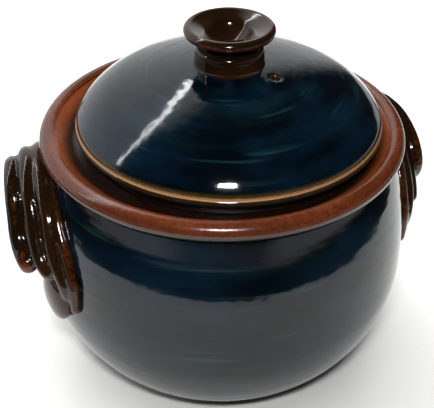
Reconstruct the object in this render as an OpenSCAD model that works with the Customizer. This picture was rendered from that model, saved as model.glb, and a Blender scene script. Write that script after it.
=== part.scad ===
// Round-bellied clay casserole with two ribbed lug handles and a lift-off domed lid.
// Millimetres. Base on Z = 0, pot axis on Z, handles along X.

/* [Bowl] */
// Widest outside radius of the belly
belly_r = 115; // [108:1:122]
// Height of the widest point
belly_z = 76; // [70:1:82]
// Radius of the curve from the base up to the belly
lower_r = 88; // [84:1:96]
// Outside radius of the neck under the rim
neck_r = 104; // [100:1:108]
// Height of the wall under the rim
wall_top = 149; // [142:1:158]
// Wall thickness
wall_t = 6; // [5:0.5:8]
// Floor thickness
floor_t = 7; // [6:0.5:11]

/* [Rim and gallery] */
// Radius of the rolled lip's round section
roll_t = 5.6; // [4.6:0.1:6.2]
// How far the rolled lip stands out past the neck
roll_out = 4.8; // [3:0.1:6]
// Width of the sloping seat wall inside the lip
slope_w = 11; // [9:0.1:13]
// Width of the flat ledge the lid rests on
ledge_w = 11.5; // [11:0.5:14]
// Depth of the ledge below the top of the roll
ledge_drop = 10; // [9:0.5:13]
// Thickness of the ledge at its inner edge
ledge_t = 4.5; // [3.5:0.5:6]

/* [Handles] */
// Half width of the outer lobe
lobe_w = 43; // [40:0.5:46]
// Half height of the outer lobe
lobe_h = 24.5; // [23:0.5:27]
// Radius of the lobe's round ends
lobe_end = 17; // [15:0.5:19]
// Radius of the outer lobe's round section
lobe_t = 6; // [5:0.1:6.4]
// How far the middle of the outer lobe stands out past the belly
lobe_out = 8.5; // [6:0.5:10]
// Depth of the shallow dish in the outer lobe
lobe_dish = 0.6; // [0.5:0.1:3]
// How much wider the lug grows from its outer lobe to the wall
lug_flare = 6; // [4:0.5:7]
// Radius of the other ribs' round section
rib_t = 5; // [4.4:0.1:5.4]
// Spacing of the outer two ribs
rib_pitch = 9; // [8.2:0.1:9.6]
// How much closer together each further pair of ribs is
rib_crowd = 1.5; // [0.8:0.1:1.8]
// Depth of the grooves between the ribs
groove_d = 2.4; // [1.6:0.1:2.6]
// Drop from the top of the wall to the top of the outer lobe
lug_drop = 6; // [3:0.5:6]
// How much higher the left handle was set than the right
lug_skew = 3; // [0:0.5:3]
// Turn of both handles towards the back, in degrees
lug_turn = 8; // [0:1:12]
// Lean of the handles with the wall, in degrees
lean = 14; // [10:1:16]
// Drop from the top of the wall to the ends of the tails
tail_drop = 69; // [64:0.5:72]
// Width of the tails along the wall
tail_w = 22; // [18:0.5:26]
// Radius of the ribs on the tails
tail_t = 4.2; // [3.6:0.1:4.6]
// Outward slant of the tails, in degrees
tail_splay = 14; // [8:1:18]
// How far the tails stand out from the wall
tail_out = 7.5; // [6:0.5:9]
// Radius of the thumbed hollow above each tail
cove_r = 20; // [18:0.5:23]

/* [Lid] */
// How far the lid edge reaches past the ledge
lid_over = 2.5; // [1.5:0.1:4]
// Free play of the lid in its seat
seat_play = 5; // [4.4:0.1:5.6]
// Thickness of the flange under the lid
seat_t = 5.5; // [4:0.5:6]
// How far the lid lies off centre
lid_shift = 3.8; // [0:0.1:3.8]
// Direction of that shift, from the right handle
lid_shift_az = -24; // [-180:1:180]
// Thickness of the lid
lid_t = 6; // [4:0.5:7]
// Thickness of the bare lid edge
edge_t = 5; // [4:0.5:6]
// Height of the dome over the lid edge
dome_h = 34; // [30:1:40]
// Radius of the top of the dome
dome_r = 190; // [175:1:205]
// Radius of the dome's shoulder
shoulder_r = 52; // [46:1:60]
// Diameter of the steam vent
vent_d = 5.5; // [4:0.5:7]
// Distance of the vent from the lid axis
vent_r = 30; // [28:0.5:36]
// Direction of the vent, from the right handle
vent_az = -55; // [-90:1:0]

/* [Knob] */
// Radius of the collar under the knob
collar_r = 20; // [18:0.5:21]
// Height of the collar
collar_h = 11.5; // [9:0.5:13]
// Radius of the knob's neck
spool_r = 15; // [13:0.5:16]
// Radius of the flared cap
cap_r = 26.3; // [24.5:0.1:28]
// Height of the cap over the collar
cap_h = 12; // [11:0.5:14]
// Radius of the rounded lip of the cap
lip_t = 2.9; // [2.4:0.1:3.2]
// Radius of the finger dish in the cap
dish_r = 13.4; // [11.5:0.1:14]

/* [Hidden] */
$fn = 180;
// Running gap between the lid and its seat
gap = 0.3;
// Reach used to cut well past a surface
far = 400;
// Overlap of shapes that are trimmed afterwards
lap = 1;
// Curve from the belly up to the neck
upper_d = belly_r - neck_r;
upper_h = wall_top - belly_z;
upper_r = (upper_d * upper_d + upper_h * upper_h) / (2 * upper_d);
// Rolled lip, held clear of the wall's top
roll_lift = 1.9;
roll_x = neck_r + roll_out - roll_t;
roll_z = wall_top + roll_t + roll_lift;
roll_top = roll_z + roll_t;
// Fine groove where the lip meets the sloping seat wall
groove_turn = 140;
groove_deep = 0.8;
groove_x = roll_x + groove_deep * roll_t * cos(groove_turn);
groove_z = roll_z + groove_deep * roll_t * sin(groove_turn);
groove_r = 1.3;
groove_in = 0.5;
groove_up = 0.8;
// Seat for the lid
ledge_z = roll_top - ledge_drop;
ledge_r = groove_x - slope_w;
throat_r = ledge_r - ledge_w;
bracket_drop = 6.5;
// Ribs of the handles, counted from the outer lobe in to the wall
ribs = 4;
function rib_x(i) = -i * (rib_pitch - rib_crowd * (i - 1) / 2);
function rib_up(i) = lug_flare * sqrt(i / (ribs - 1));
root_x = rib_x(ribs - 1) - 2 * rib_t;
dish_x = lobe_t - lobe_dish;
// Outline of the lobe: two ends joined by flatter arcs above and below
lobe_x = belly_r + lobe_out;
lobe_z = wall_top - lug_drop - lobe_h;
span = lobe_w - lobe_end;
crown_r = (span * span + lobe_h * lobe_h - lobe_end * lobe_end) / (2 * (lobe_h - lobe_end));
crown_d = crown_r - lobe_h;
crown_a = atan2(span, crown_d);
// Tails of the handles, set in a little from the lug's widest line
tail_in = 4;
tail_step = 1.2;
tail_s = lobe_w + lug_flare - tail_in;
tail_z = wall_top - tail_drop;
tail_far = tail_s + (lobe_z - tail_z) * tan(tail_splay) - tail_w / 2;
tail_turn = asin(tail_far / belly_r);
tail_x = belly_r + tail_out;
cove_x = tail_x + cove_r;
// Lid, with its edge a little below the top of the roll
edge_sink = 1;
seat_r = ledge_r - seat_play;
seat_in = seat_r - seat_t;
seat_z = ledge_z + gap;
lid_r = ledge_r + lid_over;
edge_z = roll_top - edge_sink;
edge_top = edge_z + edge_t;
dome_top = edge_top + dome_h;
dome_z = dome_top - dome_r;
shoulder_d = dome_r - shoulder_r;
edge_rise = edge_top - dome_z;
edge_far = sqrt(lid_r * lid_r + edge_rise * edge_rise);
edge_lean = atan2(lid_r, edge_rise);
bend_sum = edge_far * edge_far + shoulder_d * shoulder_d - shoulder_r * shoulder_r;
bend = edge_lean - acos(bend_sum / (2 * edge_far * shoulder_d));
shoulder_x = shoulder_d * sin(bend);
shoulder_z = dome_z + shoulder_d * cos(bend);
shift_x = lid_shift * cos(lid_shift_az);
shift_y = lid_shift * sin(lid_shift_az);
// Knob
collar_z = dome_z + sqrt(dome_r * dome_r - collar_r * collar_r);
collar_top = collar_z + collar_h;
collar_round = 2.4;
cap_top = collar_top + cap_h;
scoop_over = 0.8;
scoop_r = cap_h - 2 * lip_t + scoop_over;
scoop_x = spool_r + scoop_r;
dish_lift = 2;
dish_z = cap_top + dish_lift;
dish_over = 0.6;
dish_ball = dish_r + dish_over;
dish_fall = 3;

// Outline inside the bowl's outer face, or inside its wall for a given inset
module bowl_outline(inset) {
    intersection() {
        translate([belly_r - lower_r, belly_z]) circle(lower_r - inset);
        translate([belly_r - lower_r, 0]) square([lower_r, belly_z]);
    }
    square([belly_r - lower_r, belly_z]);
    intersection() {
        translate([belly_r - upper_r, belly_z]) circle(upper_r - inset);
        translate([0, belly_z]) square([belly_r, upper_h]);
    }
}

// Half section of the bowl's wall and floor
module bowl_section() {
    difference() {
        bowl_outline(0);
        intersection() {
            bowl_outline(wall_t);
            translate([0, floor_t]) square([belly_r, far]);
        }
    }
}

// Thrown bowl with a round belly and a flat base
module bowl() {
    color([0.03, 0.08, 0.13]) rotate_extrude() bowl_section();
}

// Half section of the rim: roll outside, groove, sloping seat and ledge inside
module rim_section() {
    difference() {
        union() {
            translate([roll_x, roll_z]) circle(roll_t);
            polygon([
                [throat_r, ledge_z],
                [throat_r, ledge_z - ledge_t],
                [neck_r - wall_t / 2, ledge_z - ledge_t - bracket_drop],
                [neck_r, wall_top],
                [neck_r, roll_z],
                [roll_x, roll_z],
                [groove_x, groove_z],
                [ledge_r, ledge_z]
            ]);
        }
        bowl_section();
        translate([groove_x - groove_in, groove_z + groove_up]) circle(groove_r);
    }
}

// Bare clay rim with the gallery that holds the lid
module gallery_rim() {
    color([0.48, 0.25, 0.17]) rotate_extrude() rim_section();
}

// Section of the lug out to its ribs: across is the offset from the outer lobe's crest, up is outwards
module lug_section(inner) {
    polygon(concat(
        [[-inner, root_x], [lug_flare - groove_d, root_x]],
        [for (i = [ribs - 1 : -1 : 0]) [rib_up(i) - groove_d, rib_x(i)]],
        [[-lobe_t, 0], [-lobe_t, dish_x], [-inner, dish_x]]
    ));
    translate([-lobe_t, 0]) circle(lobe_t);
    for (i = [1 : ribs - 1]) translate([rib_up(i) - rib_t, rib_x(i)]) circle(rib_t);
}

// Round end of the lug
module lug_end() {
    translate([span, 0, 0]) rotate([0, 0, crown_a - 90]) rotate_extrude(angle = 180 - 2 * crown_a)
        translate([lobe_end, 0]) lug_section(lobe_end);
}

// Flatter arc of the lug between its ends, down to its middle line
module lug_crown() {
    intersection() {
        translate([0, -crown_d, 0]) rotate([0, 0, 90 - crown_a]) rotate_extrude(angle = 2 * crown_a)
            translate([crown_r, 0]) lug_section(lobe_h + lap);
        translate([-far / 2, 0, -far / 2]) cube(far);
    }
}

// Section of a tail: the two inner ribs side by side, across from the tail's crest
module tail_section() {
    polygon([
        [-tail_w, root_x],
        [-groove_d, root_x],
        [-groove_d, rib_x(ribs - 1)],
        [-groove_d - tail_step, rib_x(ribs - 2)],
        [-tail_w, rib_x(1)]
    ]);
    translate([-tail_t, rib_x(ribs - 1)]) circle(tail_t);
    translate([-tail_t - tail_step, rib_x(ribs - 2)]) circle(tail_t);
}

// Tail that runs down the wall from the end of the lug
module tail(tail_l) {
    translate([tail_s, 0, 0]) rotate([90, 0, tail_splay]) linear_extrude(height = tail_l) tail_section();
}

// Cutter that thumbs the outer rib of the tails away
module tail_cove() {
    rotate([0, 0, tail_turn]) translate([0, far / 2, tail_z]) rotate([90, 0, 0])
    linear_extrude(height = far) {
        translate([cove_x, 0]) circle(cove_r);
        translate([cove_x, 0]) square([far, cove_r]);
        translate([tail_x, -far]) square([far, far]);
    }
}

// Stands a shape drawn across the lug in its place at the wall, facing +X
module on_wall(lift) {
    translate([lobe_x, 0, lobe_z + lift]) rotate([0, -lean, 0]) rotate([90, 0, 90]) children();
}

// Middle of the lug, trimmed to the wall
module lug_middle(lift) {
    difference() {
        on_wall(lift) {
            lug_crown();
            mirror([0, 1, 0]) lug_crown();
        }
        rotate_extrude() bowl_outline(0);
    }
}

// One end of the lug with its tail, trimmed to the wall
module lug_side(lift) {
    tail_l = (lobe_z + lift - tail_z) / (cos(lean) * cos(tail_splay));
    difference() {
        union() {
            on_wall(lift) lug_end();
            difference() {
                on_wall(lift) tail(tail_l);
                tail_cove();
            }
        }
        rotate_extrude() bowl_outline(0);
    }
}

// Ribbed lug with a tail pressed on the wall at each end; it stands out along +X
module lug(lift) {
    lug_middle(lift);
    lug_side(lift);
    mirror([0, 1, 0]) lug_side(lift);
}

// Handle on the left in the front view
module left_handle() {
    color([0.16, 0.11, 0.06]) mirror([1, 0, 0]) rotate([0, 0, lug_turn]) lug(lug_skew / 2);
}

// Handle on the right in the front view
module right_handle() {
    color([0.16, 0.11, 0.06]) rotate([0, 0, lug_turn]) lug(-lug_skew / 2);
}

// Outline under the dome, for a given inset from its outer face
module dome_outline(inset) {
    intersection() {
        translate([0, dome_z]) circle(dome_r - inset);
        polygon([[0, dome_z], [far * sin(bend), dome_z + far * cos(bend)], [0, dome_z + far]]);
    }
    translate([shoulder_x, shoulder_z]) circle(shoulder_r - inset);
}

// Half section of the lid: dome and bare edge
module lid_section() {
    difference() {
        union() {
            intersection() {
                dome_outline(0);
                translate([0, edge_top]) square([lid_r, far]);
            }
            translate([0, edge_z + edge_t / 2]) square([lid_r, edge_t / 2]);
            translate([lid_r - edge_t / 2, edge_z + edge_t / 2]) circle(edge_t / 2);
            translate([0, edge_z]) square([lid_r - edge_t / 2, edge_t]);
        }
        intersection() {
            dome_outline(lid_t);
            square([seat_in, far]);
        }
        translate([-far, 0]) square([far, far]);
    }
}

// Domed lid with a steam vent beside the knob
module lid_dome() {
    color([0.03, 0.07, 0.12]) translate([shift_x, shift_y, 0]) difference() {
        rotate_extrude() lid_section();
        rotate([0, 0, vent_az]) translate([vent_r, 0, edge_z]) cylinder(d = vent_d, h = far);
    }
}

// Flange under the lid that keeps it in its seat
module lid_flange() {
    color([0.55, 0.33, 0.22]) translate([shift_x, shift_y, 0]) rotate_extrude()
        translate([seat_in, seat_z]) square([seat_t, edge_z - seat_z]);
}

// Half section of the knob: collar, neck and flared cap with a finger dish
module knob_section() {
    difference() {
        union() {
            translate([0, edge_top]) square([collar_r, collar_top - collar_round - edge_top]);
            translate([0, edge_top]) square([collar_r - collar_round, collar_top - edge_top]);
            translate([collar_r - collar_round, collar_top - collar_round]) circle(collar_round);
            translate([0, collar_top]) square([cap_r - lip_t, cap_top - lip_t - collar_top]);
            translate([0, cap_top - 2 * lip_t]) square([cap_r - lip_t, 2 * lip_t]);
            translate([cap_r - lip_t, cap_top - lip_t]) circle(lip_t);
        }
        translate([scoop_x, collar_top]) intersection() {
            circle(scoop_r);
            translate([-scoop_r, 0]) square([far, far]);
        }
        translate([scoop_x, collar_top]) square([far, scoop_r]);
        polygon([
            [0, cap_top - dish_fall],
            [dish_r, cap_top - dish_fall],
            [cap_r - lip_t, cap_top],
            [0, cap_top]
        ]);
        translate([0, dish_z]) circle(dish_ball);
        translate([-far, 0]) square([far, far]);
    }
}

// Spool knob that stands on the dome
module lid_knob() {
    color([0.13, 0.10, 0.04]) translate([shift_x, shift_y, 0]) difference() {
        rotate_extrude() knob_section();
        translate([0, 0, dome_z]) sphere(dome_r);
    }
}

bowl();
gallery_rim();
left_handle();
right_handle();
lid_dome();
lid_flange();
lid_knob();
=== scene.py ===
import math

import bmesh
import bpy
from mathutils import Matrix, Vector, kdtree, noise


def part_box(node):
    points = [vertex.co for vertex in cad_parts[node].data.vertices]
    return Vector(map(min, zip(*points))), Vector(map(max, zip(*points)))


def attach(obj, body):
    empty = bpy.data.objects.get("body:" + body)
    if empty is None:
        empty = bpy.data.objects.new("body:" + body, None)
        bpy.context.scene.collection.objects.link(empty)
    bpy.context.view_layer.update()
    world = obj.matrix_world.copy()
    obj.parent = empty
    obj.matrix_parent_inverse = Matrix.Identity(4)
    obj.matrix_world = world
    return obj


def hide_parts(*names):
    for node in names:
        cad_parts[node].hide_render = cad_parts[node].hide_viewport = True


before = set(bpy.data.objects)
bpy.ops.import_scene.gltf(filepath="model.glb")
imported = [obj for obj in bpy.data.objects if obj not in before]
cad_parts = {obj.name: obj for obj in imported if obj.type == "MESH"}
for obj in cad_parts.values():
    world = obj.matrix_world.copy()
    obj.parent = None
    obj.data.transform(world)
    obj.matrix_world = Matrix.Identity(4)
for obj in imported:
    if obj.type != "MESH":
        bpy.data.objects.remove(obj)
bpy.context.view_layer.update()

bl_info = {
    "name": "Clay casserole pot",
    "version": (1, 0, 0),
    "blender": (4, 5, 0),
    "location": "3D View > Sidebar > Casserole",
    "description": "Makes a glazed clay casserole with ribbed lugs and a domed lid, and its studio",
    "category": "Object",
}

MM = 0.001
# Parts round each turned piece, and the corner angle above which an edge stays crisp
AROUND = 192
CRISP = math.radians(50)
# Width of the photograph in pixels, and of the camera's sensor in mm
PHOTO_PX, SENSOR_MM = 434, 36.0
# Studio, in metres: radius of the round paper the pot stands on, and how far its sheet runs back
PAPER_R, PAPER_BACK = 0.37, 2.0
# White wall, in degrees round from the camera's side: its middle, half its width and its soft edge
WALL_TURN, WALL_HALF, WALL_SOFT = -141, 58, 5
# Rise in degrees where the dark room floor ends, and where the front of the room turns dark again
ROOM_LOW, ROOM_HIGH, ROOM_SOFT = -13, -5, 2
# Brightness of the dark parts of the room, and of the low wall in front
ROOM_DARK, ROOM_FRONT = 0.02, 0.8
# Straight ahead of the pot the low wall is dimmer: how far, in degrees, its dim middle and its edge
# reach, and what is left of its brightness there
FRONT_CORE, FRONT_WIDE, FRONT_DIM = 15, 40, 0.25
# Thin bright hoop of light on the left: its middle in degrees round and up, half its width, its
# band, the middle of the stretch that shines and half that stretch, and its brightness
HOOP_WAY, HOOP_HALF, HOOP_BAND = (-130.6, 10.9), 43.4, 0.9
HOOP_LIT, HOOP_REACH, HOOP_BRIGHT = (-117, 48), 37, 16
# Camera at the photograph's angle: place in mm, its directions, and the lens in pixels
CAMERA_AT = (-187.27, -420.62, 432.15)
CAMERA_RIGHT, CAMERA_UP = (0.91693, -0.39904, 0.00282), (0.2319, 0.5386, 0.81002)
FOCAL_PX = 888.64
# Soft lamps: width and depth in metres, and watts
KEY_SIZE, KEY_WATTS = (0.1, 0.04), 2.5
OVERHEAD_SIZE, OVERHEAD_WATTS = (2, 2), 24
BACKDROP_SIZE, BACKDROP_WATTS = (1.6, 1), 20
# Their places in metres: the key above the camera, the others above the floor, how far behind the
# pot the backdrop's lamp hangs, and the height on the pot that the first two shine at
KEY_UP, OVERHEAD_UP, BACKDROP_UP, BACKDROP_BACK, AIM_UP = 0.1, 2, 1, 1.1, 0.12
# Sway of a thrown wall: how quickly it changes round the axis, and over what height
SWAY_ROUND, SWAY_HIGH = 1.4, 60 * MM
# Points of a mesh that are closer than this, in metres, are one, and the least step of a section
SAME, LEAST = 1e-6, 0.15 * MM
# Sand that shows in the bare clay
SAND = "9A6A48"


def linear(hex_colour):
    """An sRGB hex colour as linear red, green and blue."""
    shares = [int(hex_colour[i:i + 2], 16) / 255 for i in (0, 2, 4)]
    return tuple(s / 12.92 if s <= 0.04045 else ((s + 0.055) / 1.055) ** 2.4 for s in shares)


def length(label, told, default_mm, least=0):
    """A length in the sidebar, with its default in millimetres."""
    return bpy.props.FloatProperty(
        name=label, description=told, default=default_mm * MM, min=least, unit="LENGTH", precision=5
    )


def angle(label, told, degrees):
    """An angle in the sidebar, with its default in degrees."""
    return bpy.props.FloatProperty(
        name=label, description=told, default=math.radians(degrees), subtype="ANGLE"
    )


def colour(label, told, hex_colour):
    """A colour in the sidebar, with its default as sRGB hex."""
    return bpy.props.FloatVectorProperty(
        name=label, description=told, default=linear(hex_colour), subtype="COLOR", size=3, min=0, max=1
    )


def corner_mm(node, side, axis):
    """One face of a CAD node's box, in millimetres: side 0 is the lowest and 1 the highest."""
    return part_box(node)[side][axis] / MM


def middle_mm(node, axis):
    """Middle of a CAD node's box along an axis, in millimetres."""
    return (corner_mm(node, 0, axis) + corner_mm(node, 1, axis)) / 2


class CasseroleSizes(bpy.types.PropertyGroup):
    """Sizes of the pot, its rim, lid, knob and handles"""

    belly_r: length("Belly radius", "Widest outside radius of the bowl", corner_mm("bowl", 1, 1))
    belly_z: length("Belly height", "Height of the widest point", 76)
    lower_r: length("Lower curve", "Radius of the curve from the base to the belly", 88)
    neck_r: length("Neck radius", "Outside radius of the wall under the rim", 104)
    wall_top: length("Wall top", "Height of the wall under the rim", corner_mm("bowl", 1, 2))
    wall_t: length("Wall", "Thickness of the wall", 6)
    floor_t: length("Floor", "Thickness of the floor", 7)
    roll_t: length("Roll", "Radius of the rolled lip", 5.6)
    rim_r: length("Rim radius", "Outside radius of the rolled lip", corner_mm("gallery_rim", 1, 0))
    rim_top: length("Rim top", "Height of the top of the rolled lip", corner_mm("gallery_rim", 1, 2))
    ledge_r: length("Ledge radius", "Outer radius of the ledge that the lid rests on", 88.8)
    throat_r: length("Throat radius", "Radius of the opening inside the ledge", 77.3)
    ledge_z: length("Ledge height", "Height of the ledge", 152.1)
    lid_x: length("Lid place along X", "Where the lid's axis lies", middle_mm("lid_dome", 0))
    lid_y: length("Lid place along Y", "Where the lid's axis lies", middle_mm("lid_dome", 1), -1)
    lid_r: length(
        "Lid radius", "Outside radius of the lid",
        corner_mm("lid_dome", 1, 0) - middle_mm("lid_dome", 0),
    )
    lid_low: length("Flange foot", "Height of the flange's foot", corner_mm("lid_flange", 0, 2))
    lid_top: length("Lid top", "Height of the top of the dome", corner_mm("lid_dome", 1, 2))
    lid_t: length("Lid thickness", "Thickness of the dome", 6)
    edge_z: length("Lid edge height", "Height of the underside of the lid's edge", 161.1)
    edge_t: length("Lid edge thickness", "Thickness of the bare edge", 5)
    dome_r: length("Dome radius", "Radius of the top of the dome", 190)
    shoulder_r: length("Shoulder radius", "Radius of the dome's shoulder", 52)
    seat_r: length("Flange radius", "Outside radius of the flange under the lid", 83.8)
    seat_t: length("Flange thickness", "Thickness of the flange under the lid", 5.5)
    vent_d: length("Vent", "Diameter of the steam vent", 5.5)
    vent_r: length("Vent distance", "Distance of the vent from the lid's axis", 30)
    vent_turn: angle("Vent direction", "Direction of the vent from the right handle", -55)
    collar_r: length("Collar radius", "Radius of the collar under the knob", 20)
    collar_h: length("Collar height", "Height of the collar", 11.5)
    spool_r: length("Knob neck", "Radius of the knob's neck", 15)
    cap_r: length(
        "Knob radius", "Radius of the flared cap",
        corner_mm("lid_knob", 1, 0) - middle_mm("lid_knob", 0),
    )
    cap_top: length("Knob top", "Height of the top of the knob", corner_mm("lid_knob", 1, 2))
    lip_t: length("Knob lip", "Radius of the rounded lip of the cap", 2.9)
    dish_r: length("Finger dish", "Radius of the finger dish in the cap", 13.4)
    lobe_t: length("Outer lobe", "Radius of the outer lobe's round section", 5.7)
    left_turn: angle("Left handle turn", "How far it sits behind the pot's middle line", 14)
    right_turn: angle("Right handle turn", "How far it sits behind the pot's middle line", 7)


class CasseroleColours(bpy.types.PropertyGroup):
    """Colours of the glazes and the clay"""

    deep_blue: colour("Deep blue", "Blue glaze where it lies thick", "01060C")
    soft_blue: colour("Soft blue", "Blue glaze where it lies thinner", "061826")
    sea_green: colour("Sea green", "Pale strokes where the glaze was dragged", "2A5048")
    broken_blue: colour("Broken edge", "Glaze that has run thin over an edge", "3A2C08")
    bare_clay: colour("Bare clay", "Clay at the lid's bare edge", "9C714B")
    rust: colour("Rust", "Iron-red clay of the rim", "5C2A14")
    rust_light: colour("Light rust", "Inner slope of the rim", "7E3C19")
    # Painted shade: this dark brown stands in for the shadow in the gap under the lid's edge, on the
    # foot of the rim's inner slope, the ledge and the flange
    gap_shade_rust: colour("Deep rust", "Foot of the rim's inner slope, the ledge and the flange", "1C0D07")
    olive: colour("Olive", "Glaze that has gathered under the rim", "1D1A0B")
    brown: colour("Brown", "Brown glaze of handles and knob where it lies thick", "170D04")
    brown_light: colour("Light brown", "Brown glaze where it lies thinner", "2E1A07")
    brown_thin: colour("Thin brown", "Rust that shows through over the ribs", "5C2A10")
    floor: colour("Floor", "Pale studio floor", "F4F4F2")


def add_node(tree, kind, inputs=None, out=0, **settings):
    """Add a shader node, set its settings, set or link its inputs, and return one of its outputs."""
    made = tree.nodes.new("ShaderNode" + kind)
    for key, value in settings.items():
        setattr(made, key, value)
    for socket, value in (inputs or {}).items():
        if isinstance(value, bpy.types.NodeSocket):
            tree.links.new(value, made.inputs[socket])
        else:
            made.inputs[socket].default_value = value
    return made.outputs[out] if made.outputs else None


def new_material(name, shown):
    """An empty node material, with its plain viewport colour."""
    made = bpy.data.materials.new(name)
    made.use_nodes = True
    made.node_tree.nodes.clear()
    made.diffuse_color = rgba(shown)
    return made


def cosine(degrees):
    """Cosine of an angle in degrees."""
    return math.cos(math.radians(degrees))


def sine(degrees):
    """Sine of an angle in degrees."""
    return math.sin(math.radians(degrees))


def rgba(values):
    """A colour with full alpha."""
    return (*values, 1)


def per_mm(size_mm):
    """Texture scale that repeats about once in this many millimetres."""
    return 1 / (size_mm * MM)


# Sockets of the colour Mix node and its result
MIX_SHARE, MIX_A, MIX_B, MIX_OUT = 0, 6, 7, 2


def glaze_material(name, deep, soft, stroke, broken, clay, gloss, ragged_by):
    """Stoneware under a gloss glaze fired on a thrown piece. It is dark and mirror-like where the
    glaze lies thick, with faint rings left by the potter's fingers, dragged pale strokes, and an
    edge where the glaze runs thin, turns rusty and at last leaves the clay bare."""
    made = new_material(name, soft)
    tree = made.node_tree
    turned = add_node(tree, "Attribute", out="Vector", attribute_name="turned")
    bare = add_node(tree, "Attribute", out="Fac", attribute_name="bare")
    place = add_node(tree, "TexCoord", out="Object")

    # Noise drawn out round the axis, as mm along, mm up and detail: cloudy pools of glaze, a few thin
    # dragged strokes, and the rings left in throwing
    noises = []
    for wide, high, detail in ((60, 22, 3), (70, 4.2, 1), (170, 9, 1)):
        drawn = add_node(tree, "Mapping", {
            "Vector": turned, "Scale": (per_mm(wide), per_mm(wide), per_mm(high))})
        noises.append(add_node(tree, "TexNoise", {"Vector": drawn, "Scale": 1, "Detail": detail}))
    pools, drags, rings = noises

    # Ragged line where the glaze breaks, from 1.8 mm mottling
    grain = add_node(tree, "TexNoise", {"Vector": place, "Scale": per_mm(1.8), "Detail": 4})
    ragged = add_node(tree, "MapRange", {
        "Value": grain, "From Min": 0.3, "From Max": 0.7, "To Min": -ragged_by, "To Max": ragged_by})
    thin = add_node(tree, "Math", {0: bare, 1: ragged}, operation="ADD")

    # Colours laid over the deep glaze in turn, the bare clay last: what each follows, where it starts
    # and is full, its greatest share, and the colour
    hue = rgba(deep)
    for value, start, full, most, over in (
        (pools, 0.42, 0.68, 1, soft),
        (drags, 0.64, 0.85, 0.4, stroke),
        (rings, 0.5, 0.72, 0.05, stroke),
        (thin, 0.22, 0.5, 1, broken),
        (thin, 0.66, 0.8, 1, clay),
    ):
        share = add_node(tree, "MapRange", {
            "Value": value, "From Min": start, "From Max": full, "To Max": most})
        hue = add_node(tree, "Mix", {
            MIX_SHARE: share, MIX_A: hue, MIX_B: rgba(over)}, MIX_OUT, data_type="RGBA")
    clay_share = share

    # Bare clay is far rougher than glaze, and the glaze itself varies a little
    glaze_rough = add_node(tree, "MapRange", {"Value": pools, "To Min": gloss, "To Max": gloss + 0.05})
    rough = add_node(tree, "MapRange", {"Value": clay_share, "To Min": glaze_rough, "To Max": 0.5})

    # The rings, the slight waviness of melted glaze, 9 mm, and fine pits
    waves = add_node(tree, "TexNoise", {"Vector": place, "Scale": per_mm(9), "Detail": 1})
    ringed = add_node(tree, "Bump", {"Height": rings, "Strength": 1.0, "Distance": 0.25 * MM})
    waved = add_node(tree, "Bump", {"Height": waves, "Distance": 0.1 * MM, "Normal": ringed})
    pitted = add_node(tree, "Bump", {
        "Height": grain, "Strength": 0.25, "Distance": 0.06 * MM, "Normal": waved})
    skin = add_node(tree, "BsdfPrincipled", {
        "Base Color": hue, "Roughness": rough, "IOR": 1.45, "Normal": pitted})
    add_node(tree, "OutputMaterial", {"Surface": skin})
    return made


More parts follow.
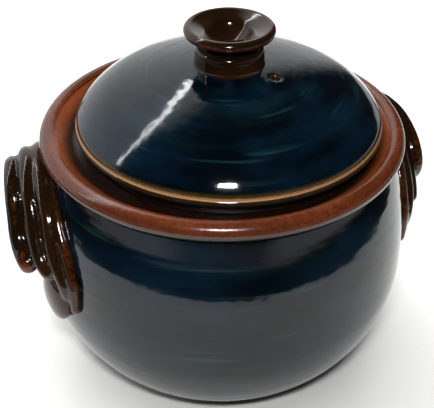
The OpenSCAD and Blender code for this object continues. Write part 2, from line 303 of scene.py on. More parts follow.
def rim_material(name, rust, rust_light, gap_shade_rust, olive):
    """Iron-red stoneware clay under a thin rubbed slip, thrown and fired bare. It is warm brown with a
    soft shine on the roll, a little sand showing, and olive glaze that ran under its lower edge. Where
    the low mark is set, at the foot of the inner slope, on the ledge and on the flange, a dark brown is
    painted in as the shade of the gap under the lid."""
    made = new_material(name, rust)
    tree = made.node_tree
    place = add_node(tree, "TexCoord", out="Object")
    turned = add_node(tree, "Attribute", out="Vector", attribute_name="turned")
    glazed, inner, low = (
        add_node(tree, "Attribute", out="Fac", attribute_name=key) for key in ("glazed", "inner", "low")
    )

    # Broad firing shades, 40 mm long, and fine clay mottling, 2 mm
    shade_at = add_node(tree, "Mapping", {
        "Vector": turned, "Scale": (per_mm(40), per_mm(40), per_mm(9))})
    shades = add_node(tree, "TexNoise", {"Vector": shade_at, "Scale": 1, "Detail": 4})
    mottle = add_node(tree, "TexNoise", {
        "Vector": place, "Scale": per_mm(2.2), "Detail": 5, "Roughness": 0.6})
    dark_share = add_node(tree, "MapRange", {
        "Value": mottle, "From Min": 0.35, "From Max": 0.7, "To Min": 0.62, "To Max": 1.12})
    shade_share = add_node(tree, "MapRange", {
        "Value": shades, "From Min": 0.3, "From Max": 0.7, "To Min": 0.78, "To Max": 1.2})
    dimming = add_node(tree, "Math", {0: dark_share, 1: shade_share}, operation="MULTIPLY")
    warm = add_node(tree, "Mix", {
        MIX_SHARE: inner, MIX_A: rgba(rust), MIX_B: rgba(rust_light)}, MIX_OUT, data_type="RGBA")
    # Painted shade: where the low mark is set the clay takes the dark gap-shade brown in place of the
    # shadow under the lid's edge
    gap_shaded = add_node(tree, "Mix", {
        MIX_SHARE: low, MIX_A: warm, MIX_B: rgba(gap_shade_rust)}, MIX_OUT, data_type="RGBA")
    clay = add_node(tree, "VectorMath", {0: gap_shaded, "Scale": dimming}, operation="SCALE")

    # Grains of sand 0.8 mm across, one every few millimetres
    sand = add_node(tree, "TexVoronoi", {"Vector": place, "Scale": per_mm(2.6)}, "Distance")
    sand_share = add_node(tree, "MapRange", {
        "Value": sand, "From Min": 0.08, "From Max": 0.16, "To Min": 0.3, "To Max": 0})
    sandy = add_node(tree, "Mix", {
        MIX_SHARE: sand_share, MIX_A: clay, MIX_B: rgba(linear(SAND))}, MIX_OUT, data_type="RGBA")

    # Olive glaze with a ragged upper line
    ragged = add_node(tree, "MapRange", {
        "Value": mottle, "From Min": 0.3, "From Max": 0.7, "To Min": -0.22, "To Max": 0.22})
    glaze = add_node(tree, "Math", {0: glazed, 1: ragged}, operation="ADD")
    glaze_share = add_node(tree, "MapRange", {"Value": glaze, "From Min": 0.35, "From Max": 0.7})
    shown = add_node(tree, "Mix", {
        MIX_SHARE: glaze_share, MIX_A: sandy, MIX_B: rgba(olive)}, MIX_OUT, data_type="RGBA")
    clay_rough = add_node(tree, "MapRange", {"Value": inner, "To Min": 0.2, "To Max": 0.34})
    rough = add_node(tree, "MapRange", {"Value": glaze_share, "To Min": clay_rough, "To Max": 0.08})
    grit = add_node(tree, "Bump", {"Height": mottle, "Strength": 0.5, "Distance": 0.12 * MM})
    skin = add_node(tree, "BsdfPrincipled", {
        "Base Color": shown, "Roughness": rough, "IOR": 1.5, "Normal": grit})
    add_node(tree, "OutputMaterial", {"Surface": skin})
    return made


def floor_material(name, tint):
    """Matt pale backdrop paper, with a faint 3 mm cloudiness from its fibre."""
    made = new_material(name, tint)
    tree = made.node_tree
    place = add_node(tree, "TexCoord", out="Object")
    fibre = add_node(tree, "TexNoise", {"Vector": place, "Scale": per_mm(3), "Detail": 4})
    tone = add_node(tree, "MapRange", {"Value": fibre, "To Min": 0.98, "To Max": 1.02})
    paper = add_node(tree, "VectorMath", {0: tint, "Scale": tone}, operation="SCALE")
    skin = add_node(tree, "BsdfPrincipled", {"Base Color": paper, "Roughness": 0.9})
    add_node(tree, "OutputMaterial", {"Surface": skin})
    return made


def arc(centre, radius, start, end, steps):
    """Points along an arc of a section, with its angles in degrees from outwards towards up."""
    turns = [math.radians(start + (end - start) * i / steps) for i in range(steps + 1)]
    return [(centre[0] + radius * math.cos(t), centre[1] + radius * math.sin(t)) for t in turns]


def line(start, end, steps):
    """Points along a straight stretch of a section, without its first."""
    return [tuple(a + (b - a) * i / steps for a, b in zip(start, end)) for i in range(1, steps + 1)]


def tidy_section(points, least=LEAST):
    """The section without points that lie closer together than the given length."""
    kept = [points[0]]
    for point in points[1:]:
        if math.dist(point, kept[-1]) > least:
            kept.append(point)
    return kept


def bridge(bm, low, high):
    """Join two rings of as many points by quads."""
    for k in range(len(low)):
        n = (k + 1) % len(low)
        bm.faces.new((low[k], low[n], high[n], high[k]))


def turn_section(name, section, axis, marks, wobble):
    """Turn a section of (radius, height) points round an upright axis into a quad mesh. Each mark
    is a named function of (radius, height, place along the section) that is kept on the points."""
    mesh = bpy.data.meshes.new(name)
    bm = bmesh.new()
    layers = {key: bm.verts.layers.float.new(key) for key in marks}
    turned = bm.verts.layers.float_vector.new("turned")
    rows, along = [], 0.0
    reach = max(r for r, _ in section)
    for i, (r, z) in enumerate(section):
        along += math.dist(section[i - 1], (r, z)) if i else 0
        row = []
        for k in range(AROUND if r > SAME else 1):
            a = 2 * math.pi * k / AROUND
            sway = noise.noise((SWAY_ROUND * math.cos(a), SWAY_ROUND * math.sin(a), z / SWAY_HIGH)) - 1
            out = r * (1 + wobble * sway / 2)
            vert = bm.verts.new((axis[0] + out * math.cos(a), axis[1] + out * math.sin(a), z))
            vert[turned] = Vector((reach * math.cos(a), reach * math.sin(a), along))
            for key, mark in marks.items():
                vert[layers[key]] = mark(r, z, along)
            row.append(vert)
        rows.append(row)
    for low, high in zip(rows, rows[1:]):
        if len(low) == len(high):
            bridge(bm, low, high)
            continue
        for k in range(AROUND):
            n = (k + 1) % AROUND
            bm.faces.new((low[0], high[n], high[k]) if len(low) == 1 else (low[k], low[n], high[0]))
    return mesh, bm, rows


def make_piece(name, mesh, bm, material, node, body):
    """Put a finished mesh in the scene in place of its CAD node, riding on its body."""
    bmesh.ops.recalc_face_normals(bm, faces=bm.faces)
    bm.to_mesh(mesh)
    bm.free()
    mesh.shade_smooth()
    mesh.set_sharp_from_angle(angle=CRISP)
    mesh.materials.append(material)
    piece = bpy.data.objects.new(name, mesh)
    bpy.context.scene.collection.objects.link(piece)
    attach(piece, body)
    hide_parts(node)


def fade(value, start, end):
    """Smooth share from 0 at start to 1 at end."""
    share = min(max((value - start) / (end - start), 0), 1)
    return share * share * (3 - 2 * share)


def wall_radius(sizes, z, inset=0.0):
    """Radius of the bowl's wall at a height."""
    if z < sizes.belly_z:
        drop = sizes.belly_z - z
        reach = max((sizes.lower_r - inset) ** 2 - drop ** 2, 0)
        return sizes.belly_r - sizes.lower_r + math.sqrt(reach)
    fall, rise = sizes.belly_r - sizes.neck_r, sizes.wall_top - sizes.belly_z
    upper_r = (fall ** 2 + rise ** 2) / (2 * fall)
    return sizes.belly_r - upper_r + math.sqrt((upper_r - inset) ** 2 - (z - sizes.belly_z) ** 2)


def blue_glaze(tints):
    """The blue glaze, made once for the bowl and the lid."""
    name = "cobalt_gloss_glaze_on_stoneware"
    return bpy.data.materials.get(name) or glaze_material(
        name, tints.deep_blue, tints.soft_blue, tints.sea_green, tints.broken_blue, tints.bare_clay,
        gloss=0.05, ragged_by=0.05,
    )


def brown_glaze(tints):
    """The brown glaze, made once for the handles and the knob."""
    name = "iron_brown_gloss_glaze_on_stoneware"
    return bpy.data.materials.get(name) or glaze_material(
        name, tints.brown, tints.brown_light, tints.brown_thin, tints.brown_thin, tints.rust,
        gloss=0.08, ragged_by=0.1,
    )


def bare_stoneware(tints):
    """The bare clay, made once for the rim and the lid's flange."""
    name = "bare_iron_stoneware"
    return bpy.data.materials.get(name) or rim_material(
        name, tints.rust, tints.rust_light, tints.gap_shade_rust, tints.olive
    )


class CASSEROLE_OT_bowl(bpy.types.Operator):
    """Make the thrown bowl"""

    bl_idname = "casserole.bowl"
    bl_label = "Bowl"

    def execute(self, context):
        s, tints = context.scene.casserole_sizes, context.scene.casserole_colours
        # Rounding of the foot and how far in it starts, and the same where the wall meets the floor
        foot_round, foot_in, floor_round, floor_in = 3 * MM, 4 * MM, 4 * MM, 5 * MM
        rows = 90
        heights = [s.wall_top * i / rows for i in range(rows + 1)]
        base_r = wall_radius(s, foot_round)
        outside = [(wall_radius(s, z), z) for z in heights if z >= foot_round]
        low = s.floor_t + floor_round
        inside = [(wall_radius(s, z, s.wall_t), z) for z in reversed(heights) if z >= low]
        section = [(0, 0)] + line((0, 0), (base_r - foot_in, 0), 14)
        section += arc((base_r - foot_in, foot_round), foot_round, -90, -35, 4) + outside + inside
        floor_r = inside[-1][0] - floor_in
        section += [(floor_r, s.floor_t)] + line((floor_r, s.floor_t), (0, s.floor_t), 12)
        # The base is bare clay, and the glaze starts just above its edge
        base_reach, bare_to, glazed_from = base_r * 1.2, 1.5 * MM, 5 * MM
        marks = {
            "bare": lambda r, z, along: 1 - fade(z, bare_to, glazed_from) if along < base_reach else 0,
        }
        section = tidy_section(section, 0.2 * MM)
        mesh, bm, _ = turn_section("bowl_body", section, (0, 0), marks, wobble=0.004)
        make_piece("bowl_body", mesh, bm, blue_glaze(tints), "bowl", "pot")
        return {"FINISHED"}


class CASSEROLE_OT_rim(bpy.types.Operator):
    """Make the rolled rim with the gallery that holds the lid"""

    bl_idname = "casserole.rim"
    bl_label = "Rim"

    def execute(self, context):
        s, tints = context.scene.casserole_sizes, context.scene.casserole_colours
        roll = (s.rim_r - s.roll_t, s.rim_top - s.roll_t)
        groove = (roll[0] - 0.62 * s.roll_t, roll[1] + 0.5 * s.roll_t)
        inner_wall = s.neck_r - s.wall_t
        # How far the rim laps down inside the wall, its seam on the wall, and the throat's rounding
        lap, seam, throat = 7 * MM, 0.2 * MM, 1.5 * MM
        section = [(inner_wall, s.wall_top - lap), (inner_wall + 0.6 * MM, s.wall_top - seam)]
        section += line(section[-1], (s.neck_r - 0.4 * MM, s.wall_top - seam), 5)
        section += [(s.neck_r + 0.2 * MM, s.wall_top + 1.4 * MM)]
        section += arc(roll, s.roll_t, -62, 128, 26)
        section += [(groove[0] + 0.2 * MM, groove[1] + 0.5 * MM)]
        section += [(groove[0] - 0.9 * MM, groove[1] - 0.1 * MM)]
        section += line(section[-1], (s.ledge_r + 1.2 * MM, s.ledge_z + 0.5 * MM), 12)
        section += line(section[-1], (s.ledge_r - 1 * MM, s.ledge_z), 2)
        section += line(section[-1], (s.throat_r + throat, s.ledge_z), 6)
        section += arc((s.throat_r + throat, s.ledge_z - throat), throat, 90, 180, 5)[1:]
        section += arc((s.throat_r + throat, s.ledge_z - 2 * throat), throat, 180, 250, 4)
        section += line(section[-1], (inner_wall, s.wall_top - lap), 8)[:-1]
        section = tidy_section(section)
        section.append(section[0])
        marks = {
            "glazed": lambda r, z, along: fade(r, s.neck_r - 2 * MM, s.neck_r) * (
                1 - fade(z, roll[1] - 3 * MM, roll[1] + 1.2 * MM)),
            "inner": lambda r, z, along: 1 - fade(r, groove[0] - 0.8 * MM, groove[0] + 1 * MM),
            # The low mark paints shade from the ledge up the foot of the inner slope, under the lid's
            # edge
            "low": lambda r, z, along: 1 - fade(r, s.ledge_r + 1 * MM, groove[0] - 0.5 * MM),
        }
        mesh, bm, _ = turn_section("rim_and_gallery", section, (0, 0), marks, wobble=0.003)
        bmesh.ops.remove_doubles(bm, verts=bm.verts, dist=SAME)
        clay = bare_stoneware(tints)
        make_piece("rim_and_gallery", mesh, bm, clay, "gallery_rim", "pot")
        return {"FINISHED"}


def dome_height(sizes, r, inset=0.0):
    """Height of the lid's dome at a distance from its axis."""
    dome_z = sizes.lid_top - sizes.dome_r
    edge_top = sizes.edge_z + sizes.edge_t
    far = sizes.dome_r - sizes.shoulder_r
    rise = edge_top - dome_z
    reach = math.hypot(sizes.lid_r, rise)
    bend = math.atan2(sizes.lid_r, rise) - math.acos(
        (reach ** 2 + far ** 2 - sizes.shoulder_r ** 2) / (2 * reach * far)
    )
    x, z = far * math.sin(bend), dome_z + far * math.cos(bend)
    if r < (sizes.dome_r - inset) * math.sin(bend):
        return dome_z + math.sqrt((sizes.dome_r - inset) ** 2 - r ** 2)
    return z + math.sqrt(max((sizes.shoulder_r - inset) ** 2 - (r - x) ** 2, 0))


# The vent: how far round its middle the dome's faces are cut out, in mm, and the rings from there to
# its wall, as share of its radius, mm into the clay, and how bare the clay is
VENT_REACH = 4.2
VENT_RINGS = ((1.4, 0, 0.15), (1.12, 0.3, 0.42), (1, 1.2, 0.4))


def cut_vent(bm, rows_out, rows_in, sizes, axis):
    """Open the steam vent through the dome: a block of faces on each side is replaced by a ring of
    quads round the hole, and the two holes are joined by its wall."""
    hole_r = sizes.vent_d / 2
    turn = sizes.vent_turn
    centre = Vector((
        axis[0] + sizes.vent_r * math.cos(turn), axis[1] + sizes.vent_r * math.sin(turn), 0
    ))
    bare = bm.verts.layers.float["bare"]
    turned = bm.verts.layers.float_vector["turned"]
    rings = []
    for rows in (rows_out, rows_in):
        block = {
            v for row in rows for v in row
            if math.hypot(v.co.x - centre.x, v.co.y - centre.y) < VENT_REACH * MM
        }
        faces = [f for f in bm.faces if any(v in block for v in f.verts)]
        edges = {e for f in faces for e in f.edges if not all(g in faces for g in e.link_faces)}
        rim = []
        vert = min(edges, key=lambda e: tuple(e.verts[0].co)).verts[0]
        while vert not in rim:
            rim.append(vert)
            ways = (e.other_vert(vert) for e in vert.link_edges if e in edges)
            vert = next(v for v in ways if v not in rim[-2:-1])
        bmesh.ops.delete(bm, geom=faces, context="FACES")
        outer = rows is rows_out
        loops = [rim]
        for grow, drop, clay in VENT_RINGS:
            loop = []
            for v in rim:
                way = (Vector((v.co.x, v.co.y, 0)) - centre).normalized()
                place = centre + way * hole_r * grow
                r = math.hypot(place.x - axis[0], place.y - axis[1])
                level = dome_height(sizes, r, 0 if outer else sizes.lid_t)
                place.z = level - drop * MM if outer else level + drop * MM
                new = bm.verts.new(place)
                new[bare] = clay
                new[turned] = v[turned]
                loop.append(new)
            loops.append(loop)
        for a, b in zip(loops, loops[1:]):
            bridge(bm, a, b)
        rings.append(loops[-1])

    def bearing(v):
        """Direction of a point from the vent's middle."""
        return math.atan2(v.co.y - centre.y, v.co.x - centre.x)

    top, low = (sorted(ring, key=bearing) for ring in rings)
    if len(top) != len(low):
        raise RuntimeError("the two ends of the steam vent don't match")
    bridge(bm, top, low)
    loose = [v for v in bm.verts if not v.link_faces]
    bmesh.ops.delete(bm, geom=loose, context="VERTS")


# The lid's bare edge: how much barer the clay gets, and from where to where along the section, in mm
# past the end of the dome
LID_EDGE = ((0.5, -4, 0.8), (0.5, 1.7, 2.4), (-0.7, 3.1, 3.7))


class CASSEROLE_OT_lid(bpy.types.Operator):
    """Make the domed lid with its bare edge, flange and steam vent"""

    bl_idname = "casserole.lid"
    bl_label = "Lid"

    def execute(self, context):
        s, tints = context.scene.casserole_sizes, context.scene.casserole_colours
        axis = (s.lid_x, s.lid_y)
        half = s.edge_t / 2
        steps = 70
        radii = [s.lid_r * i / steps for i in range(steps)]
        dome = [(r, dome_height(s, r)) for r in radii if r < s.lid_r - 0.8 * MM]
        edge = arc((s.lid_r - half, s.edge_z + half), half, 62, -90, 12)
        seat_in = s.seat_r - s.seat_t
        under = line(edge[-1], (seat_in, s.edge_z), 5)
        radii = [seat_in * (1 - i / steps) for i in range(steps + 1)]
        hollow = [(r, dome_height(s, r, s.lid_t)) for r in radii if r < seat_in - 0.5 * MM]
        section = dome + edge + under + line(under[-1], (seat_in, hollow[0][1] - 1 * MM), 4) + hollow
        section = tidy_section(section)
        top_along = sum(math.dist(a, b) for a, b in zip(dome, dome[1:]))

        def edge_bare(r, z, along):
            """How bare the clay is, which is only at the lid's edge."""
            if r <= seat_in + 0.1 * MM:
                return 0
            return sum(
                share * fade(along, top_along + start * MM, top_along + end * MM)
                for share, start, end in LID_EDGE
            )

        mesh, bm, rows = turn_section("lid_body", section, axis, {"bare": edge_bare}, wobble=0.002)
        cut_vent(bm, rows[:len(dome)], rows[-len(hollow):], s, axis)
        make_piece("lid_body", mesh, bm, blue_glaze(tints), "lid_dome", "lid")

        foot = 1.2 * MM
        ring = [(seat_in, s.edge_z), (s.seat_r, s.edge_z)]
        ring += line(ring[-1], (s.seat_r, s.lid_low + foot), 4)
        ring += arc((s.seat_r - foot, s.lid_low + foot), foot, 0, -90, 4)[1:]
        ring += arc((seat_in + foot, s.lid_low + foot), foot, -90, -180, 4)
        ring += line(ring[-1], (seat_in, s.edge_z), 4)
        # The whole flange under the lid is given the painted shade of the gap
        levels = {"glazed": 0, "inner": 1, "low": 1}
        marks = {key: lambda r, z, along, level=level: level for key, level in levels.items()}
        mesh, bm, _ = turn_section("lid_flange_ring", ring, axis, marks, wobble=0.002)
        bmesh.ops.remove_doubles(bm, verts=bm.verts, dist=SAME)
        make_piece("lid_flange_ring", mesh, bm, bare_stoneware(tints), "lid_flange", "lid")
        return {"FINISHED"}


class CASSEROLE_OT_knob(bpy.types.Operator):
    """Make the spool knob with its collar and finger dish"""

    bl_idname = "casserole.knob"
    bl_label = "Knob"

    def execute(self, context):
        s, tints = context.scene.casserole_sizes, context.scene.casserole_colours
        axis = (s.lid_x, s.lid_y)
        root = dome_height(s, s.collar_r)
        collar_top = root + s.collar_h
        collar_round = 2.4 * MM
        lip = (s.cap_r - s.lip_t, s.cap_top - s.lip_t)
        scoop_r = lip[1] - s.lip_t - collar_top + 0.8 * MM
        section = [(s.collar_r + 1.2 * MM, root - 1.2 * MM), (s.collar_r + 0.3 * MM, root + 0.8 * MM)]
        section += line(section[-1], (s.collar_r, collar_top - collar_round), 5)
        bend = (s.collar_r - collar_round, collar_top - collar_round)
        section += arc(bend, collar_round, 0, 90, 7)[1:]
        section += arc((s.spool_r + scoop_r, collar_top), scoop_r, 172, 105, 10)
        section += arc(lip, s.lip_t, -75, 100, 12)
        section += line(section[-1], (s.dish_r + 1.5 * MM, s.cap_top - 2.6 * MM), 6)
        section += arc((0, s.cap_top + 2 * MM), s.dish_r + 0.6 * MM, -24, -90, 16)
        section = tidy_section(section[:-1] + [(0, section[-1][1])])
        marks = {
            "bare": lambda r, z, along: 0.3 * fade(r, s.cap_r - 2.2 * MM, s.cap_r - 0.2 * MM) * (
                1 - fade(z, lip[1], lip[1] + 2 * MM)),
        }
        mesh, bm, _ = turn_section("knob_body", section, axis, marks, wobble=0.003)
        make_piece("knob_body", mesh, bm, brown_glaze(tints), "lid_knob", "lid")
        return {"FINISHED"}


# Middle lines of the handle's ribs from the top down to one end: degrees along the wall from the
# handle's middle, height in mm, and mm out from the wall. The outer lobe is a closed oval,
# and the two handles' lobes differ, as on a pot made by hand.
LEFT_LOBE = [(0, 139, 19), (4, 136.5, 19), (8, 129, 18.2), (10.5, 120, 17.2), (12.6, 110.5, 16.6),
             (15.3, 104.3, 16.1), (18.3, 101, 15.6), (18.8, 98, 14.4), (12, 96, 13.5), (0, 95.5, 13)]
RIGHT_LOBE = [(0, 139, 19), (6, 137.5, 19), (12, 132.5, 18.3), (16.5, 125, 17.6), (18.6, 116, 16.8),
              (17.5, 107.5, 16.2), (14, 102, 15.5), (7, 98.5, 14), (0, 97.5, 13)]
SECOND_RIB = [(0, 143, 12), (6.5, 141, 12), (12, 135, 11.5), (15.8, 126.5, 10.7), (18.7, 117, 10.5),
              (21, 110.5, 10.4), (23.3, 104.5, 10), (26, 100.5, 8.8)]
THIRD_RIB = [(0, 143, 6.5), (8, 142, 6.3), (15, 138, 6), (20.2, 131, 6), (23.6, 121.8, 6.2),
             (25.6, 115, 6.4), (27.5, 108.5, 6.4), (29.6, 102, 5.8), (31, 95, 4.8), (31.5, 87.4, 3)]
WALL_RIB = [(0, 140.5, 1), (12, 139.9, 1.5), (21, 131.4, 1.5), (25.6, 122.4, 1.5), (28.4, 116, 1.5),
            (30.3, 110, 1.5), (33.2, 96.7, 1.5), (33.7, 88.4, 1.2), (33.5, 79, 0.8)]
# Where the body under the ribs closes below, as height and mm out at its middle
BODY_FOOT = [(95.5, 13), (97, 8), (98, 3.5), (99, 0), (99, -3)]
# The back half of a handle reaches this share of its front half along the wall
BACK_SHARE = 0.76
# Radius of each rib in mm at the top and at its ends, and how far rust shows through along it
RIBS = ((SECOND_RIB, 5.2, 4.6, 0.27), (THIRD_RIB, 3.9, 3.2, 0.14), (WALL_RIB, 3.9, 3.2, 0.46))
LOBE_RUST = 0.7
# The left handle sits this many mm higher than its lines, and the right one as many lower
LUG_LIFT = 1.5
# Rings that close the outer lobe: share of its outline, and mm out from it
LOBE_DOME = ((0.8, 3.6), (0.55, 5.2), (0.3, 6), (0.1, 6.2))
# Broad ends on the wall: degrees along it, height and mm out of their middle, and half their
# thickness, width and height in mm
TONGUE_AT, TONGUE_HALF = (24.3, 80, 2), (6.6, 14, 19)
# Points on each stretch of a path, points round half of a handle, and sides of a rib
PATH_STEPS, HALF_STEPS, RIB_SIDES = 8, 30, 14
# How the forms of a handle are fused: the voxel in mm, and rounds of smoothing
VOXEL, SOFT_ROUNDS = 1.0, 5
# Rust shows where the clay stands proud of what is round it: where it starts and is full, in mm, and
# how often that is evened out
PROUD_FROM, PROUD_TO, PROUD_ROUNDS = 0.01, 0.18, 3


def smooth_path(points):
    """Points along a smooth curve through the given ones."""
    ends = [points[0]] + points + [points[-1]]
    path = []
    for a, b, c, d in zip(ends, ends[1:], ends[2:], ends[3:]):
        for i in range(PATH_STEPS):
            t = i / PATH_STEPS
            path.append(tuple(
                0.5 * (2 * q + (r - p) * t + (2 * p - 5 * q + 4 * r - s) * t * t
                       + (3 * q - p - 3 * r + s) * t ** 3)
                for p, q, r, s in zip(a, b, c, d)
            ))
    path.append(points[-1])
    return path


def even_path(path, count):
    """The path cut into equal lengths."""
    places = [Vector(p) for p in path]
    run = [0.0]
    for a, b in zip(places, places[1:]):
        run.append(run[-1] + (b - a).length)
    cut, k = [], 0
    for i in range(count + 1):
        goal = run[-1] * i / count
        while k < len(run) - 2 and run[k + 1] < goal:
            k += 1
        share = (goal - run[k]) / max(run[k + 1] - run[k], SAME)
        cut.append(places[k].lerp(places[k + 1], share))
    return cut


def both_ways(half):
    """A path that runs from one end over the top to the other end."""
    return [(-a * BACK_SHARE, z, out) for a, z, out in reversed(half)] + [tuple(p) for p in half[1:]]


def on_wall(sizes, point, lift):
    """Place of a (degrees, height, out) point for a handle at -X, with front towards -Y."""
    turn = math.radians(point[0])
    z = point[1] * MM + lift
    r = wall_radius(sizes, min(z, sizes.wall_top)) + point[2] * MM
    return Vector((-r * math.cos(turn), -r * math.sin(turn), z))


def add_tube(bm, path, radii):
    """A closed tube with round ends along a path."""
    turns = [2 * math.pi * k / RIB_SIDES for k in range(RIB_SIDES)]
    rings = []
    out = Vector((-1, 0, 0))
    for i, place in enumerate(path):
        ahead = (path[min(i + 1, len(path) - 1)] - path[max(i - 1, 0)]).normalized()
        u = (out - ahead * out.dot(ahead)).normalized()
        v = ahead.cross(u)
        ways = [u * math.cos(a) + v * math.sin(a) for a in turns]
        rings.append([bm.verts.new(place + way * radii[i]) for way in ways])
    for a, b in zip(rings, rings[1:]):
        bridge(bm, a, b)
    bm.faces.new(list(reversed(rings[0])))
    bm.faces.new(rings[-1])
    for end, r in ((path[0], radii[0]), (path[-1], radii[-1])):
        bmesh.ops.create_uvsphere(
            bm, u_segments=RIB_SIDES, v_segments=10, radius=r, matrix=Matrix.Translation(end)
        )


def add_body(bm, sizes, lift, lobe):
    """The solid clay under the ribs, lofted from the outer lobe to just inside the wall."""
    near_wall = WALL_RIB[:6]
    levels = [lobe, SECOND_RIB, THIRD_RIB[:7], near_wall, [(a, z, out - 3) for a, z, out in near_wall]]
    rings = []
    for half, (low, out) in zip(levels, BODY_FOOT):
        whole = half if half is lobe else half + [(half[-1][0] * 0.6, low + 1, out), (0, low, out)]
        front = smooth_path(whole)
        back = [(-a * BACK_SHARE, z, away) for a, z, away in front]
        run, back = (
            even_path([on_wall(sizes, p, lift) for p in way], HALF_STEPS) for way in (front, back)
        )
        rings.append([bm.verts.new(p) for p in run + back[-2:0:-1]])
    for a, b in zip(rings, rings[1:]):
        bridge(bm, a, b)
    # The outer lobe is closed by a dome
    middle = sum((v.co for v in rings[0]), Vector()) / len(rings[0])
    edge = rings[0]
    for share, rise in LOBE_DOME:
        out = Vector((-rise * MM, 0, 0))
        ring = [bm.verts.new(middle.lerp(v.co, share) + out) for v in rings[0]]
        bridge(bm, ring, edge)
        edge = ring
    bm.faces.new(edge)
    bm.faces.new(list(reversed(rings[-1])))


def add_tongue(bm, sizes, side, lift):
    """The broad end of the handle, thumbed flat on the wall."""
    along, height, out = TONGUE_AT
    along = along if side > 0 else -along * BACK_SHARE
    place = on_wall(sizes, (along, height, out), lift)
    turn = Matrix.Rotation(math.radians(along), 4, "Z")
    grown = Matrix.Diagonal((*(half * MM for half in TONGUE_HALF), 1))
    bmesh.ops.create_uvsphere(
        bm, u_segments=32, v_segments=20, radius=1, matrix=Matrix.Translation(place) @ turn @ grown
    )


def fused(bm, name):
    """The overlapping closed forms in bm as one smooth skin."""
    rough = bpy.data.meshes.new(name + "_rough")
    bmesh.ops.recalc_face_normals(bm, faces=bm.faces)
    bm.to_mesh(rough)
    bm.free()
    holder = bpy.data.objects.new(name + "_rough", rough)
    bpy.context.scene.collection.objects.link(holder)
    remesh = holder.modifiers.new("fuse", "REMESH")
    remesh.mode = "VOXEL"
    remesh.voxel_size = VOXEL * MM
    soften = holder.modifiers.new("soften", "SMOOTH")
    soften.factor, soften.iterations = 0.5, SOFT_ROUNDS
    shaped = holder.evaluated_get(bpy.context.evaluated_depsgraph_get())
    mesh = bpy.data.meshes.new_from_object(shaped)
    mesh.name = name
    bpy.data.objects.remove(holder)
    bpy.data.meshes.remove(rough)
    return mesh


def mark_crests(mesh, crests):
    """Keep on each point how far it stands proud of its neighbours, which is where glaze runs thin,
    times how far rust shows through along the nearest rib."""
    ribs = kdtree.KDTree(len(crests))
    for i, (place, _) in enumerate(crests):
        ribs.insert(place, i)
    ribs.balance()
    bm = bmesh.new()
    bm.from_mesh(mesh)
    bm.normal_update()
    proud = {}
    for v in bm.verts:
        near = {e.other_vert(v) for e in v.link_edges}
        wide = {e.other_vert(w) for w in near for e in w.link_edges} | near
        middle = sum((w.co for w in wide), Vector()) / len(wide)
        proud[v.index] = (v.co - middle).dot(v.normal)
    for _ in range(PROUD_ROUNDS):
        proud = {
            v.index: (proud[v.index] + sum(proud[e.other_vert(v).index] for e in v.link_edges))
            / (1 + len(v.link_edges)) for v in bm.verts
        }
    bare = mesh.attributes.new("bare", "FLOAT", "POINT")
    turned = mesh.attributes.new("turned", "FLOAT_VECTOR", "POINT")
    for v in bm.verts:
        rust = crests[ribs.find(v.co)[1]][1]
        bare.data[v.index].value = rust * fade(proud[v.index], PROUD_FROM * MM, PROUD_TO * MM)
        turned.data[v.index].vector = (v.co.y, v.co.z * 0.5, v.co.x)
    bm.free()


class CASSEROLE_OT_handles(bpy.types.Operator):
    """Make the two ribbed lug handles"""

    bl_idname = "casserole.handles"
    bl_label = "Handles"

    def execute(self, context):
        s, tints = context.scene.casserole_sizes, context.scene.casserole_colours
        for name, node, mirror, lift, lug_turn, lobe in (
            ("left_lug", "left_handle", 1, LUG_LIFT * MM, s.left_turn, LEFT_LOBE),
            ("right_lug", "right_handle", -1, -LUG_LIFT * MM, s.right_turn, RIGHT_LOBE),
        ):
            bm = bmesh.new()
            add_body(bm, s, lift, lobe)
            loop = smooth_path(lobe)
            loop += [(-a * BACK_SHARE, z, out) for a, z, out in reversed(loop[1:-1])] + loop[:2]
            ring = [on_wall(s, p, lift) for p in loop]
            add_tube(bm, ring, [s.lobe_t] * len(ring))
            crests = [(p, LOBE_RUST) for p in ring]
            for half, start, end, rust in RIBS:
                path = [on_wall(s, p, lift) for p in smooth_path(both_ways(half))]
                last = len(path) - 1
                shares = [abs(2 * i / last - 1) ** 2 for i in range(last + 1)]
                radii = [(start + (end - start) * share) * MM for share in shares]
                add_tube(bm, path, radii)
                crests += [(p, rust) for p in path]
            for side in (-1, 1):
                add_tongue(bm, s, side, lift)
            mesh = fused(bm, name)
            mark_crests(mesh, crests)
            mesh.transform(Matrix.Rotation(-lug_turn, 4, "Z"))
            if mirror < 0:
                mesh.transform(Matrix.Diagonal((-1, 1, 1, 1)))
                mesh.flip_normals()
            made = bmesh.new()
            made.from_mesh(mesh)
            make_piece(name, mesh, made, brown_glaze(tints), node, "pot")
        return {"FINISHED"}


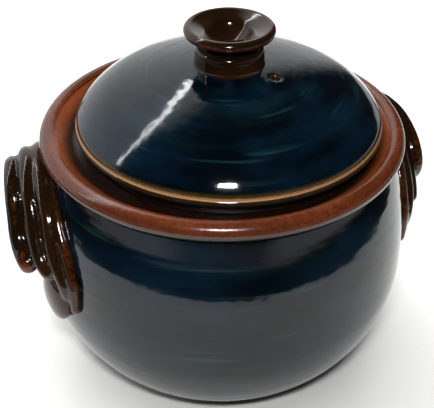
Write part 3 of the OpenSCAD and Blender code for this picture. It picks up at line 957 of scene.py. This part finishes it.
class CASSEROLE_OT_studio(bpy.types.Operator):
    """Make the pale floor, the soft lights and the camera"""

    bl_idname = "casserole.studio"
    bl_label = "Studio"

    def execute(self, context):
        scene, tints = context.scene, context.scene.casserole_colours
        place = Vector(CAMERA_AT) * MM
        right, up = Vector(CAMERA_RIGHT), Vector(CAMERA_UP)
        data = bpy.data.cameras.new("camera")
        data.sensor_width = SENSOR_MM
        data.lens = FOCAL_PX * SENSOR_MM / PHOTO_PX
        camera = bpy.data.objects.new("camera", data)
        rows = Matrix((right, up, right.cross(up))).transposed().to_4x4()
        camera.matrix_world = Matrix.Translation(place) @ rows
        scene.collection.objects.link(camera)
        scene.camera = camera

        # The floor is a sheet of paper, round in front and running back behind the pot
        near = Vector((place.x, place.y, 0)).normalized()
        across = near.cross(Vector((0, 0, 1)))
        steps = 48
        turns = [math.pi * i / steps for i in range(steps + 1)]
        outline = [(near * math.sin(t) + across * math.cos(t)) * PAPER_R for t in turns]
        outline += [-across * PAPER_R - near * PAPER_BACK, across * PAPER_R - near * PAPER_BACK]
        sheet = bpy.data.meshes.new("floor")
        sheet.from_pydata(outline, [], [range(len(outline))])
        sheet.materials.append(floor_material("pale_backdrop_paper", tints.floor))
        floor = bpy.data.objects.new("floor", sheet)
        scene.collection.objects.link(floor)

        def studio_way(turn, rise):
            """Direction from the pot, in degrees from the camera's side towards the right, and up."""
            level = near * cosine(turn) - across * sine(turn)
            return level * cosine(rise) + Vector((0, 0, sine(rise)))

        # A white wall behind and to the left, a low white wall in front, and a dark room otherwise
        world = bpy.data.worlds.new("studio")
        scene.world = world
        world.use_nodes = True
        tree = world.node_tree
        tree.nodes.clear()
        way = add_node(tree, "TexCoord", out="Generated")

        rise = add_node(tree, "SeparateXYZ", {"Vector": way}, "Z")
        # How nearly each direction of the room points to the wall, the front, the hoop and its lit part
        to_wall, to_front, to_hoop, to_lit = (
            add_node(tree, "VectorMath", {
                0: way, 1: studio_way(*aim)}, "Value", operation="DOT_PRODUCT")
            for aim in ((WALL_TURN, 0), (0, 0), HOOP_WAY, HOOP_LIT)
        )
        # Soft steps: what each follows, where it starts and ends, and the brightness before and after
        wall, low_wall, front, above = (
            add_node(tree, "MapRange", {
                "Value": value, "From Min": start, "From Max": end, "To Min": low, "To Max": high},
                interpolation_type="SMOOTHSTEP")
            for value, start, end, low, high in (
                (to_wall, cosine(WALL_HALF + WALL_SOFT), cosine(WALL_HALF - WALL_SOFT), 0, 1),
                (rise, sine(ROOM_HIGH - ROOM_SOFT), sine(ROOM_HIGH + ROOM_SOFT), ROOM_FRONT, 0),
                (to_front, cosine(FRONT_WIDE), cosine(FRONT_CORE), 1, FRONT_DIM),
                (rise, sine(ROOM_LOW - ROOM_SOFT), sine(ROOM_LOW + ROOM_SOFT), 0, 1),
            )
        )
        # The room's brightness, and the thin hoop's on top of it
        hoop_wide = sine(HOOP_HALF) * math.radians(HOOP_BAND)
        front = add_node(tree, "Math", {0: low_wall, 1: front}, operation="MULTIPLY")
        walls = add_node(tree, "Math", {0: wall, 1: front}, operation="MAXIMUM")
        room = add_node(tree, "Math", {0: walls, 1: above, 2: ROOM_DARK}, operation="MULTIPLY_ADD")
        hoop = add_node(tree, "Math", {
            0: to_hoop, 1: cosine(HOOP_HALF), 2: hoop_wide}, operation="COMPARE")
        part = add_node(tree, "Math", {0: to_lit, 1: cosine(HOOP_REACH)}, operation="GREATER_THAN")
        hoop = add_node(tree, "Math", {0: hoop, 1: part}, operation="MULTIPLY")
        lit = add_node(tree, "Math", {0: hoop, 1: HOOP_BRIGHT, 2: room}, operation="MULTIPLY_ADD")
        seen = add_node(tree, "LightPath", out="Is Camera Ray")
        strength = add_node(tree, "MapRange", {"Value": seen, "To Min": lit, "To Max": 1})
        sky = add_node(tree, "Background", {"Color": (1, 1, 1, 1), "Strength": strength})
        add_node(tree, "OutputWorld", {"Surface": sky})

        def lamp(name, where, aim, size, watts, mirrored=True):
            """A soft rectangular lamp that shines on a point."""
            light = bpy.data.lights.new(name, "AREA")
            light.shape = "RECTANGLE"
            light.size, light.size_y = size
            light.energy = watts
            made = bpy.data.objects.new(name, light)
            made.location = where
            made.rotation_euler = (aim - where).to_track_quat("-Z", "Y").to_euler()
            made.visible_camera = False
            made.visible_glossy = mirrored
            scene.collection.objects.link(made)

        middle = Vector((0, 0, AIM_UP))
        lamp("key", place + Vector((0, 0, KEY_UP)), middle, KEY_SIZE, KEY_WATTS)
        lamp("overhead", Vector((0, 0, OVERHEAD_UP)), middle,
             OVERHEAD_SIZE, OVERHEAD_WATTS, mirrored=False)
        behind = near * -BACKDROP_BACK
        lamp("backdrop", behind + Vector((0, 0, BACKDROP_UP)), behind,
             BACKDROP_SIZE, BACKDROP_WATTS, mirrored=False)
        scene.view_settings.view_transform = "Standard"
        return {"FINISHED"}


class CASSEROLE_PT_maker(bpy.types.Panel):
    """Lists the sizes, the colours and what makes each piece"""

    bl_idname = "CASSEROLE_PT_maker"
    bl_label = "Casserole"
    bl_space_type = "VIEW_3D"
    bl_region_type = "UI"
    bl_category = "Casserole"

    def draw(self, context):
        column = self.layout.column()
        for operator in OPERATORS:
            column.operator(operator.bl_idname)
        for group in (context.scene.casserole_sizes, context.scene.casserole_colours):
            for key in group.bl_rna.properties.keys():
                if key not in ("rna_type", "name"):
                    column.prop(group, key)


OPERATORS = (
    CASSEROLE_OT_bowl, CASSEROLE_OT_rim, CASSEROLE_OT_handles,
    CASSEROLE_OT_lid, CASSEROLE_OT_knob, CASSEROLE_OT_studio,
)
CLASSES = (CasseroleSizes, CasseroleColours, *OPERATORS, CASSEROLE_PT_maker)


def register():
    """Add the classes and their settings to Blender."""
    for item in CLASSES:
        bpy.utils.register_class(item)
    bpy.types.Scene.casserole_sizes = bpy.props.PointerProperty(type=CasseroleSizes)
    bpy.types.Scene.casserole_colours = bpy.props.PointerProperty(type=CasseroleColours)


def unregister():
    """Take the classes and their settings out of Blender."""
    del bpy.types.Scene.casserole_colours
    del bpy.types.Scene.casserole_sizes
    for item in reversed(CLASSES):
        bpy.utils.unregister_class(item)


def main():
    """Make every piece in order."""
    register()
    bpy.ops.casserole.bowl()
    bpy.ops.casserole.rim()
    bpy.ops.casserole.handles()
    bpy.ops.casserole.lid()
    bpy.ops.casserole.knob()
    bpy.ops.casserole.studio()
    bpy.context.view_layer.update()


if __name__ == "__main__":
    main()
